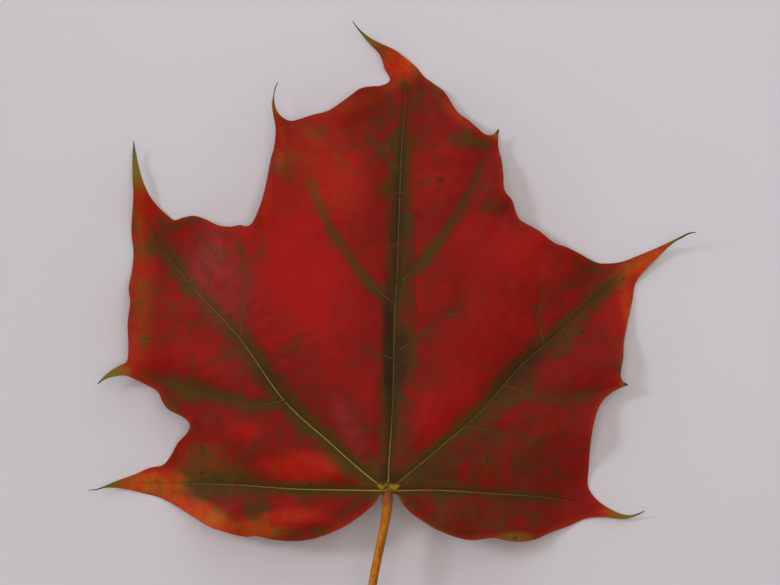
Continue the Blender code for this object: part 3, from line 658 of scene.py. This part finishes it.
# Stalk axis from the knuckle to the end that sat on the twig: plan place, height, radius
stalkForm = {
    "axis": [
        (0, 1.6, 10.6, 0.6), (0, 0.3, 11, 1), (-0.1, -0.9, 11.35, 1.3), (-0.1, -2.2, 11.75, 1.38),
        (-0.4, -5.8, 12.4, 1.22), (-1.8, -12.9, 13.2, 1.09), (-3.6, -21.8, 13.7, 1.07),
        (-5, -32, 13.4, 1.04), (-6, -45, 11.9, 1.04), (-6.2, -60, 9.3, 1.04), (-5.4, -75, 6.3, 1.09),
        (-4, -88, 3.8, 1.19), (-2.8, -97, 2.3, 1.49), (-2, -103, 1.85, 2.08), (-1.7, -105.5, 1.85, 2.2),
    ],
    "step": 0.8, "sides": 28, "ridges": 7, "ridgeDepth": 0.035, "unevenness": 0.02,
    # Rings of the scar: share of the end's own ring, and depth in mm
    "scarRings": ((0.9, -0.05), (0.74, 0.2), (0.5, 0.42), (0.25, 0.5), (0.04, 0.55)),
}


def stalkPiece():
    axis = smoothLine(stalkForm["axis"], stalkForm["step"])
    sides = stalkForm["sides"]
    vertices, faces, around, along = tubeMesh(axis[:, :3], axis[:, 3], sides, closeEnd=False)
    vertices = np.array(vertices)
    centre = np.repeat(axis[:, :3], sides, axis=0)
    turn, way = np.array(around) * fullTurn, np.array(along)
    wander = 0.9 * np.sin(way * 9) + 0.4 * np.sin(way * 23)
    ridge = 1 + stalkForm["ridgeDepth"] * np.sin(stalkForm["ridges"] * (turn + 0.25 * wander))
    ridge += stalkForm["unevenness"] * np.sin(3 * turn + 40 * way)
    vertices = centre + (vertices - centre) * ridge[:, None]
    vertices[:, 2] = np.maximum(vertices[:, 2], 0.0)

    # The scar: rings that step inwards from the swollen end
    ring = vertices[-sides:]
    middle = axis[-1, :3]
    inward = axis[-2, :3] - middle
    inward /= np.linalg.norm(inward)
    for level, (shrink, depth) in enumerate(stalkForm["scarRings"], start=1):
        faces += ringFaces(len(vertices) - sides, sides)
        vertices = np.vstack((vertices, middle + (ring - middle) * shrink + inward * depth))
        around += around[:sides]
        along += [1 + 0.01 * level] * sides
    vertices[:, 2] = np.maximum(vertices[:, 2], 0.0)
    faces.append(tuple(range(len(vertices) - sides, len(vertices))))

    mesh = bpy.data.meshes.new("stalkSkin")
    mesh.from_pydata([tuple(v) for v in vertices * mm + jointPlace], [], faces)
    addAttributes(mesh, {"along": along, "around": around})
    mesh.shade_smooth()
    print("stalk:", len(mesh.polygons), "faces")
    return addObject("stalk_skin", mesh)


def linear(red, green, blue):
    # A colour as seen on a screen, 0 to 255, to the shader's own scale
    parts = [c / 255.0 for c in (red, green, blue)]
    return tuple(c / 12.92 if c <= 0.04045 else ((c + 0.055) / 1.055) ** 2.4 for c in parts) + (1.0,)


def setSocket(tree, socket, value):
    if isinstance(value, bpy.types.NodeSocket):
        tree.links.new(value, socket)
    elif value is not None:
        socket.default_value = value


def mathNode(tree, operation, a, b=None, clamp=False):
    node = tree.nodes.new("ShaderNodeMath")
    node.operation = operation
    node.use_clamp = clamp
    setSocket(tree, node.inputs[0], a)
    setSocket(tree, node.inputs[1], b)
    return node.outputs[0]


def times(tree, a, b):
    return mathNode(tree, "MULTIPLY", a, b)


def plus(tree, a, b, clamp=False):
    return mathNode(tree, "ADD", a, b, clamp)


def minus(tree, a, b):
    return mathNode(tree, "SUBTRACT", a, b)


def centred(tree, cloud, factor):
    # A cloud's departure from its middle, times the factor
    return times(tree, minus(tree, cloud, 0.5), factor)


def vectorNode(tree, operation, a, b):
    node = tree.nodes.new("ShaderNodeVectorMath")
    node.operation = operation
    setSocket(tree, node.inputs[0], a)
    setSocket(tree, node.inputs["Scale" if operation == "SCALE" else 1], b)
    return node.outputs[0]


def mixColour(tree, factor, a, b):
    node = tree.nodes.new("ShaderNodeMix")
    node.data_type = "RGBA"
    setSocket(tree, node.inputs["Factor"], factor)
    setSocket(tree, node.inputs[6], a)
    setSocket(tree, node.inputs[7], b)
    return node.outputs[2]


def paintOver(tree, colour, paint, layers):
    # Lays each named colour over the ones before it, where its mask says
    for mask, name in layers:
        colour = mixColour(tree, mask, colour, linear(*paint[name]))
    return colour


def mapRange(tree, value, fromLow, fromHigh, toLow=0.0, toHigh=1.0, smooth=True):
    node = tree.nodes.new("ShaderNodeMapRange")
    node.interpolation_type = "SMOOTHSTEP" if smooth else "LINEAR"
    for index, given in enumerate((value, fromLow, fromHigh, toLow, toHigh)):
        setSocket(tree, node.inputs[index], given)
    return node.outputs[0]


def rampNode(tree, value, stops):
    node = tree.nodes.new("ShaderNodeValToRGB")
    elements = node.color_ramp.elements
    while len(elements) < len(stops):
        elements.new(0.5)
    for element, (place, shade) in zip(elements, stops):
        element.position = place
        element.color = linear(*shade)
    setSocket(tree, node.inputs["Fac"], value)
    return node.outputs["Color"]


def attribute(tree, name):
    node = tree.nodes.new("ShaderNodeAttribute")
    node.attribute_name = name
    return node.outputs["Fac"]


def objectPlace(tree):
    return tree.nodes.new("ShaderNodeTexCoord").outputs["Object"]


def newGroup(name, inputs, outputs):
    group = bpy.data.node_groups.new(name, "ShaderNodeTree")
    for socket, value in inputs.items():
        made = group.interface.new_socket(socket, in_out="INPUT", socket_type="NodeSocketFloat")
        made.default_value = value
    for socket in outputs:
        group.interface.new_socket(socket, in_out="OUTPUT", socket_type="NodeSocketFloat")
    return group, group.nodes.new("NodeGroupInput").outputs, group.nodes.new("NodeGroupOutput").inputs


def placeGroup(tree, group, **values):
    node = tree.nodes.new("ShaderNodeGroup")
    node.node_tree = group
    for name, value in values.items():
        setSocket(tree, node.inputs[name], value)
    return node.outputs


# Soft clouds of a colour, from fractal noise measured in millimetres
def cloudGroup():
    group, given, out = newGroup(
        "softClouds", {"Size": 10.0, "Low": 0.4, "High": 0.6, "Offset": 0.0}, ("Mask", "Raw"))
    noise = group.nodes.new("ShaderNodeTexNoise")
    noise.inputs["Detail"].default_value = 3.0
    noise.inputs["Roughness"].default_value = 0.5
    setSocket(group, noise.inputs["Vector"], vectorNode(group, "ADD", objectPlace(group), given["Offset"]))
    setSocket(group, noise.inputs["Scale"], mathNode(group, "DIVIDE", 1 / mm, given["Size"]))
    raw = noise.outputs["Fac"]
    setSocket(group, out["Mask"], mapRange(group, raw, given["Low"], given["High"]))
    setSocket(group, out["Raw"], raw)
    return group


def flatCells(tree, place, size, feature):
    # Random cells in plan, their size measured in millimetres
    cells = tree.nodes.new("ShaderNodeTexVoronoi")
    cells.voronoi_dimensions = "2D"
    cells.feature = feature
    setSocket(tree, cells.inputs["Vector"], vectorNode(tree, "MULTIPLY", place, (1.0, 1.0, 0.0)))
    setSocket(tree, cells.inputs["Scale"], mathNode(tree, "DIVIDE", 1 / mm, size))
    return cells.outputs


# Round dark dots strewn at random: a share of the cells holds one each
def dotGroup():
    group, given, out = newGroup("strewnDots", {"Cell": 3.0, "Radius": 0.25, "Share": 0.2}, ("Mask",))
    cells = flatCells(group, objectPlace(group), given["Cell"], "F1")
    parts = group.nodes.new("ShaderNodeSeparateColor")
    setSocket(group, parts.inputs["Color"], cells["Color"])
    chosen = mathNode(group, "LESS_THAN", parts.outputs[0], given["Share"])
    size = times(group, plus(group, parts.outputs[1], 0.3), given["Radius"])
    dot = mapRange(group, cells["Distance"], times(group, size, 0.4), size, 1.0, 0.0)
    setSocket(group, out["Mask"], times(group, dot, chosen))
    return group


# The finest net of veins: warped cells whose edges are lines
netWarp = {"scale": 330.0, "detail": 2.0, "reach": 0.0016}


def netGroup():
    group, given, out = newGroup("fineNet", {"Cell": 2.0, "Line": 0.06}, ("Line", "Dome"))
    place = objectPlace(group)
    warp = group.nodes.new("ShaderNodeTexNoise")
    warp.inputs["Scale"].default_value = netWarp["scale"]
    warp.inputs["Detail"].default_value = netWarp["detail"]
    setSocket(group, warp.inputs["Vector"], place)
    away = vectorNode(group, "SUBTRACT", warp.outputs["Color"], (0.5, 0.5, 0.5))
    away = vectorNode(group, "SCALE", away, netWarp["reach"])
    cells = flatCells(group, vectorNode(group, "ADD", place, away), given["Cell"], "DISTANCE_TO_EDGE")
    toEdge = cells["Distance"]
    setSocket(group, out["Line"], mapRange(group, toEdge, 0.0, given["Line"], 1.0, 0.0))
    setSocket(group, out["Dome"], mapRange(group, toEdge, 0.0, 0.35))
    return group


def newMaterial(name):
    material = bpy.data.materials.new(name)
    material.use_nodes = True
    return material, material.node_tree


def finishMaterial(material, look, colour, cloud, relief):
    # Colour, roughness between two values by the cloud, gloss and fine relief
    tree = material.node_tree
    shader = tree.nodes["Principled BSDF"]
    setSocket(tree, shader.inputs["Base Color"], colour)
    setSocket(tree, shader.inputs["Roughness"], mapRange(tree, cloud, 0.3, 0.7, *look["roughness"]))
    shader.inputs["Specular IOR Level"].default_value = look["gloss"]
    bump = tree.nodes.new("ShaderNodeBump")
    bump.inputs["Distance"].default_value = look["reliefDepth"]
    bump.inputs["Strength"].default_value = look["reliefStrength"]
    setSocket(tree, bump.inputs["Height"], relief)
    setSocket(tree, shader.inputs["Normal"], bump.outputs["Normal"])
    return material


# Colours by the amount of green left in the leaf, for a red and for an orange ground
bladeColours = {
    "red": ((0, (134, 14, 10)), (0.22, (119, 19, 10)), (0.45, (100, 30, 10)), (0.7, (82, 45, 11)),
            (1, (66, 51, 11))),
    "brightRed": ((0, (157, 17, 10)), (0.22, (142, 23, 11)), (0.45, (114, 37, 12)), (0.7, (90, 52, 13)),
                  (1, (76, 61, 15))),
    "orange": ((0, (184, 44, 12)), (0.22, (182, 66, 16)), (0.45, (162, 88, 20)), (0.7, (126, 86, 20)),
               (1, (90, 74, 18))),
    "back": ((0, (184, 88, 66)), (0.3, (174, 98, 66)), (0.6, (160, 116, 68)), (1, (142, 124, 70))),
    "darkOlive": (36, 24, 10), "tipOlive": (106, 92, 20), "bristle": (52, 38, 24),
    # The first colour on the next line is a painted sheen, the pale greyish pink of gloss catching the light
    "paintedSheen": (146, 52, 52), "knuckle": (146, 112, 28), "edge": (158, 56, 24),
    "backRib": (190, 162, 98), "backEdge": (176, 92, 62),
}

# Clouds that break up the green: size in mm, amount, shift of the noise
greenClouds = ((7.0, 1.5, 0.0), (3.2, 2.0, 0.2), (1.3, 1.2, 0.5))

faceLook = {
    "net": {"Cell": 2.7, "Line": 0.07}, "fineNet": {"Cell": 0.95, "Line": 0.1},
    "dots": {"Cell": 3.4, "Radius": 0.2, "Share": 0.1},
    "netGreen": 0.1, "fineDark": 0.12, "speckDark": 0.12, "paintedSheenShare": 0.45, "darkShare": 0.85,
    "roughness": (0.4, 0.54), "gloss": 0.06, "reliefDepth": 0.05 * mm, "reliefStrength": 0.4,
}


def greenAmount(tree, clouds):
    # The green left in the leaf: the laid-out field, broken up most where it is half green
    field = attribute(tree, "green")
    reach = times(tree, times(tree, field, 1.1), minus(tree, 1.15, field))
    reach = plus(tree, reach, 0.14)
    total = field
    for size, amount, shift in greenClouds:
        cloud = placeGroup(tree, clouds, Size=size, Offset=shift)["Raw"]
        total = plus(tree, total, times(tree, centred(tree, cloud, amount), reach))
    return mapRange(tree, total, 0.0, 1.0, smooth=False)


def bladeFaceMaterial(clouds, net, dots):
    material, tree = newMaterial("bladeFace")
    look = faceLook
    small = placeGroup(tree, clouds, Size=3.2, Offset=0.43)["Raw"]
    middle = placeGroup(tree, clouds, Size=11.0, Offset=0.9)["Raw"]
    speck = placeGroup(tree, clouds, Size=0.8, Low=0.3, High=0.7, Offset=0.71)
    lines = placeGroup(tree, net, **look["net"])
    fine = placeGroup(tree, net, **look["fineNet"])
    green = plus(tree, greenAmount(tree, clouds), times(tree, lines["Line"], look["netGreen"]), True)
    toMargin = attribute(tree, "toMargin")

    bright = plus(tree, attribute(tree, "bright"), centred(tree, middle, 1.6), True)
    warm = mathNode(tree, "MAXIMUM", attribute(tree, "warm"), mapRange(tree, toMargin, 0.2, 1.8, 0.14, 0.0))
    warm = plus(tree, warm, times(tree, centred(tree, small, 1.5), warm), True)
    # Painted sheen, broken up by the small cloud
    paintedSheen = times(tree, attribute(tree, "paintedSheen"), mapRange(tree, small, 0.35, 0.6, 0.4, 1.0))
    # Partly painted shade beside the ribs, partly real dark specks
    dark = attribute(tree, "dark")
    dark = plus(tree, dark, times(tree, centred(tree, small, 1.6), dark), True)
    dotted = placeGroup(tree, dots, **look["dots"])["Mask"]
    dotted = times(tree, dotted, mapRange(tree, attribute(tree, "green"), 0.1, 0.6, 0.1, 0.5))
    joint = plus(tree, attribute(tree, "knuckle"), centred(tree, speck["Raw"], 1.1))

    red, brightRed, orange = (rampNode(tree, green, bladeColours[name])
                              for name in ("red", "brightRed", "orange"))
    colour = mixColour(tree, warm, mixColour(tree, bright, red, brightRed), orange)
    colour = paintOver(tree, colour, bladeColours, (
        # painted sheen
        (times(tree, paintedSheen, look["paintedSheenShare"]), "paintedSheen"),
        # painted shade beside the ribs, and real dark specks
        (times(tree, dark, look["darkShare"]), "darkOlive"),
        (times(tree, attribute(tree, "core"), green), "darkOlive"),
        (dotted, "darkOlive"),
        (times(tree, fine["Line"], look["fineDark"]), "darkOlive"),
        (times(tree, speck["Mask"], look["speckDark"]), "darkOlive"),
        (mapRange(tree, joint, 0.25, 1.0, 0.0, 0.9), "knuckle"),
        (mapRange(tree, toMargin, 0.0, 0.35, 0.28, 0.0), "edge"),
        (attribute(tree, "tipOlive"), "tipOlive"),
        (attribute(tree, "tipDark"), "bristle"),
    ))
    relief = plus(tree, lines["Dome"], times(tree, fine["Dome"], 0.45))
    relief = plus(tree, relief, times(tree, speck["Raw"], 0.4))
    return finishMaterial(material, look, colour, small, relief)


backLook = {
    "net": {"Cell": 2.7, "Line": 0.09}, "fineNet": {"Cell": 0.95, "Line": 0.12},
    "netPale": 0.35, "finePale": 0.2, "warmShare": 0.6,
    "roughness": (0.6, 0.75), "gloss": 0.3, "reliefDepth": 0.08 * mm, "reliefStrength": 1.0,
}


def bladeBackMaterial(clouds, net):
    material, tree = newMaterial("bladeBack")
    look = backLook
    small = placeGroup(tree, clouds, Size=3.0, Low=0.35, High=0.65, Offset=0.55)
    lines = placeGroup(tree, net, **look["net"])
    fine = placeGroup(tree, net, **look["fineNet"])
    warm = times(tree, attribute(tree, "warm"), small["Mask"])
    mainRib = mapRange(tree, attribute(tree, "toMain"), 0.4, 0.8, 1.0, 0.0)
    sideRib = mapRange(tree, attribute(tree, "toSide"), 0.15, 0.4, 0.9, 0.0)
    ground = rampNode(tree, greenAmount(tree, clouds), bladeColours["back"])
    colour = paintOver(tree, ground, bladeColours, (
        (times(tree, warm, look["warmShare"]), "backEdge"),
        (times(tree, lines["Line"], look["netPale"]), "backRib"),
        (times(tree, fine["Line"], look["finePale"]), "backRib"),
        (mathNode(tree, "MAXIMUM", mainRib, sideRib), "backRib"),
        (attribute(tree, "tipOlive"), "tipOlive"),
        (attribute(tree, "tipDark"), "bristle"),
    ))
    relief = minus(tree, times(tree, small["Raw"], 0.3), lines["Dome"])
    relief = minus(tree, relief, times(tree, fine["Dome"], 0.5))
    return finishMaterial(material, look, colour, small["Raw"], relief)


strandLook = {
    "midrib": ((0, (146, 102, 50)), (0.13, (112, 72, 34)), (0.2, (84, 52, 26)), (0.42, (98, 60, 27)),
               (0.6, (92, 68, 28)), (0.8, (100, 76, 32)), (1, (96, 50, 18))),
    "other": ((0, (150, 116, 48)), (0.3, (146, 114, 46)), (0.6, (120, 96, 35)), (1, (92, 58, 20))),
    "side": ((0, (98, 74, 27)), (0.4, (82, 57, 20)), (1, (102, 28, 11))),
    "darkShare": 0.24,
    "roughness": (0.42, 0.55), "gloss": 0.12, "reliefDepth": 0.04 * mm, "reliefStrength": 1.0,
}


def strandMaterial(clouds):
    material, tree = newMaterial("veinStrand")
    look = strandLook
    along = attribute(tree, "along")
    cloud = placeGroup(tree, clouds, Size=2.5, Low=0.4, High=0.65, Offset=0.2)
    side, other, midrib = (rampNode(tree, along, look[name]) for name in ("side", "other", "midrib"))
    colour = mixColour(tree, attribute(tree, "isMain"), side, other)
    colour = mixColour(tree, attribute(tree, "isMidrib"), colour, midrib)
    dark = times(tree, cloud["Mask"], look["darkShare"])
    colour = paintOver(tree, colour, bladeColours, ((dark, "darkOlive"),))
    return finishMaterial(material, look, colour, cloud["Raw"], cloud["Raw"])


stalkLook = {
    "orange": (166, 94, 8), "pale": (178, 112, 12), "red": (116, 48, 12), "speck": (84, 42, 20),
    "scar": (112, 84, 58), "scarDark": (62, 44, 32), "collar": (108, 60, 22),
    "redSide": 0.17,        # where round the stalk its reddest side lies, in turns
    "redShare": 0.22, "speckShare": 0.8,
    "roughness": (0.36, 0.52), "gloss": 0.1, "reliefDepth": 0.08 * mm, "reliefStrength": 1.0,
}


def stalkMaterial(clouds):
    material, tree = newMaterial("stalkSkin")
    look = stalkLook
    around, along = attribute(tree, "around"), attribute(tree, "along")
    broad = placeGroup(tree, clouds, Size=7.0, Low=0.35, High=0.65, Offset=0.1)
    small = placeGroup(tree, clouds, Size=1.6, Low=0.4, High=0.6, Offset=0.6)
    speck = placeGroup(tree, clouds, Size=0.7, Low=0.6, High=0.68, Offset=0.3)["Mask"]
    # The side towards the light is redder, and the belly stays pale
    flush = mathNode(tree, "SINE", times(tree, minus(tree, around, look["redSide"]), fullTurn))
    flush = plus(tree, flush, centred(tree, broad["Raw"], 2.2))
    colour = mixColour(tree, broad["Mask"], linear(*look["orange"]), linear(*look["pale"]))
    colour = paintOver(tree, colour, look, (
        (mapRange(tree, flush, 0.35, 1.35, 0.0, 0.7), "red"),
        (times(tree, small["Mask"], look["redShare"]), "red"),
        (times(tree, speck, look["speckShare"]), "speck"),
        (mapRange(tree, along, 0.02, 0.085, 1.0, 0.0), "collar"),
        (mapRange(tree, along, 0.93, 0.985, 0.0, 0.75), "scar"),
        (mapRange(tree, along, 1.0, 1.03, 0.0, 0.9), "scarDark"),
    ))
    relief = minus(tree, small["Raw"], times(tree, speck, 0.4))
    return finishMaterial(material, look, colour, small["Raw"], relief)


# Floor, camera and lights
stageLook = {
    "floorColour": (200, 197, 199), "floorPatch": (196, 192, 194), "patchSize": 140.0, "patchShare": 0.5,
    "floorRoughness": 0.9, "floorGloss": 0.1, "floorSize": 4.0,
    "pictureWidth": 0.195, "pictureMiddle": (0.5, 49.4), "cameraHeight": 1.2, "sensor": 36.0,
    "leafHeight": 0.004, "clipStart": 0.01,
    "keyPlace": (-3.0, 1.2, 2.8), "keySize": 0.9, "keyPower": 58.0, "keyColour": (0.9, 0.89, 1.0),
    "fillPlace": (0.2, 0.6, 0.45), "fillSize": 0.6, "fillPower": 1.58, "fillColour": (0.8, 0.98, 1.06),
    "overPlace": (0.1, 0.2, 2.5), "overSize": 2.2, "overPower": 38.9, "overColour": (1.0, 0.767, 0.705),
    "skyLow": (1.08, 1.5, 1.58, 1.0), "skyHigh": (0.0, 0.0, 0.0, 1.0), "skyReach": (0.1, 0.7),
    "overheadShare": 0.5, "overheadReach": (0.35, 0.95),
}


def floorMaterial(clouds):
    material, tree = newMaterial("paleFloor")
    look = stageLook
    cloud = placeGroup(tree, clouds, Size=look["patchSize"], Low=0.3, High=0.7)["Mask"]
    patch = times(tree, cloud, look["patchShare"])
    colour = mixColour(tree, patch, linear(*look["floorColour"]), linear(*look["floorPatch"]))
    shader = tree.nodes["Principled BSDF"]
    setSocket(tree, shader.inputs["Base Color"], colour)
    shader.inputs["Roughness"].default_value = look["floorRoughness"]
    shader.inputs["Specular IOR Level"].default_value = look["floorGloss"]
    return material


def addStage(clouds):
    look = stageLook
    half = look["floorSize"] / 2
    corners = [(-half, -half, 0), (half, -half, 0), (half, half, 0), (-half, half, 0)]
    mesh = bpy.data.meshes.new("floorSheet")
    mesh.from_pydata(corners, [], [(0, 1, 2, 3)])
    mesh.materials.append(floorMaterial(clouds))
    floor = addObject("floor_sheet", mesh)

    middle = jointPlace + np.array((*look["pictureMiddle"], 0.0)) * mm
    camera = addObject("camera", bpy.data.cameras.new("camera"))
    distance = look["cameraHeight"] - look["leafHeight"]
    camera.data.sensor_width = look["sensor"]
    camera.data.lens = look["sensor"] * distance / look["pictureWidth"]
    camera.data.clip_start = look["clipStart"]
    camera.location = (middle[0], middle[1], look["cameraHeight"])
    bpy.context.scene.camera = camera

    for name in ("key", "fill", "over"):
        light = addObject(name + "_light", bpy.data.lights.new(name, "AREA"))
        light.data.size = look[name + "Size"]
        light.data.energy = look[name + "Power"]
        light.data.color = look[name + "Colour"]
        light.location = look[name + "Place"]
        light.rotation_euler = (Vector(middle) - light.location).to_track_quat("-Z", "Y").to_euler()

    # A soft room, lighter and cooler near the floor than above, where the warmer lamp is
    world = bpy.data.worlds.new("softRoom")
    world.use_nodes = True
    tree = world.node_tree
    parts = tree.nodes.new("ShaderNodeSeparateXYZ")
    setSocket(tree, parts.inputs[0], tree.nodes.new("ShaderNodeTexCoord").outputs["Generated"])
    upward = parts.outputs[2]
    sky = mixColour(tree, mapRange(tree, upward, *look["skyReach"]), look["skyLow"], look["skyHigh"])
    background = tree.nodes["Background"]
    setSocket(tree, background.inputs[0], sky)
    setSocket(tree, background.inputs[1],
              mapRange(tree, upward, *look["overheadReach"], 1.0, look["overheadShare"]))
    bpy.context.scene.world = world
    bpy.context.scene.view_settings.view_transform = "Standard"
    print("stage: camera at", tuple(round(c, 4) for c in camera.location))


clouds = cloudGroup()
net = netGroup()
dots = dotGroup()

blade = bladePiece()
blade.data.materials.append(bladeFaceMaterial(clouds, net, dots))
blade.data.materials.append(bladeBackMaterial(clouds, net))
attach(blade, "root")
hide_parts("leaf_blade")

strands = strandPiece()
strands.data.materials.append(strandMaterial(clouds))
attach(strands, "root")
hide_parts("leaf_blade")

stalk = stalkPiece()
stalk.data.materials.append(stalkMaterial(clouds))
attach(stalk, "root")
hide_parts("leaf_stalk")

addStage(clouds)
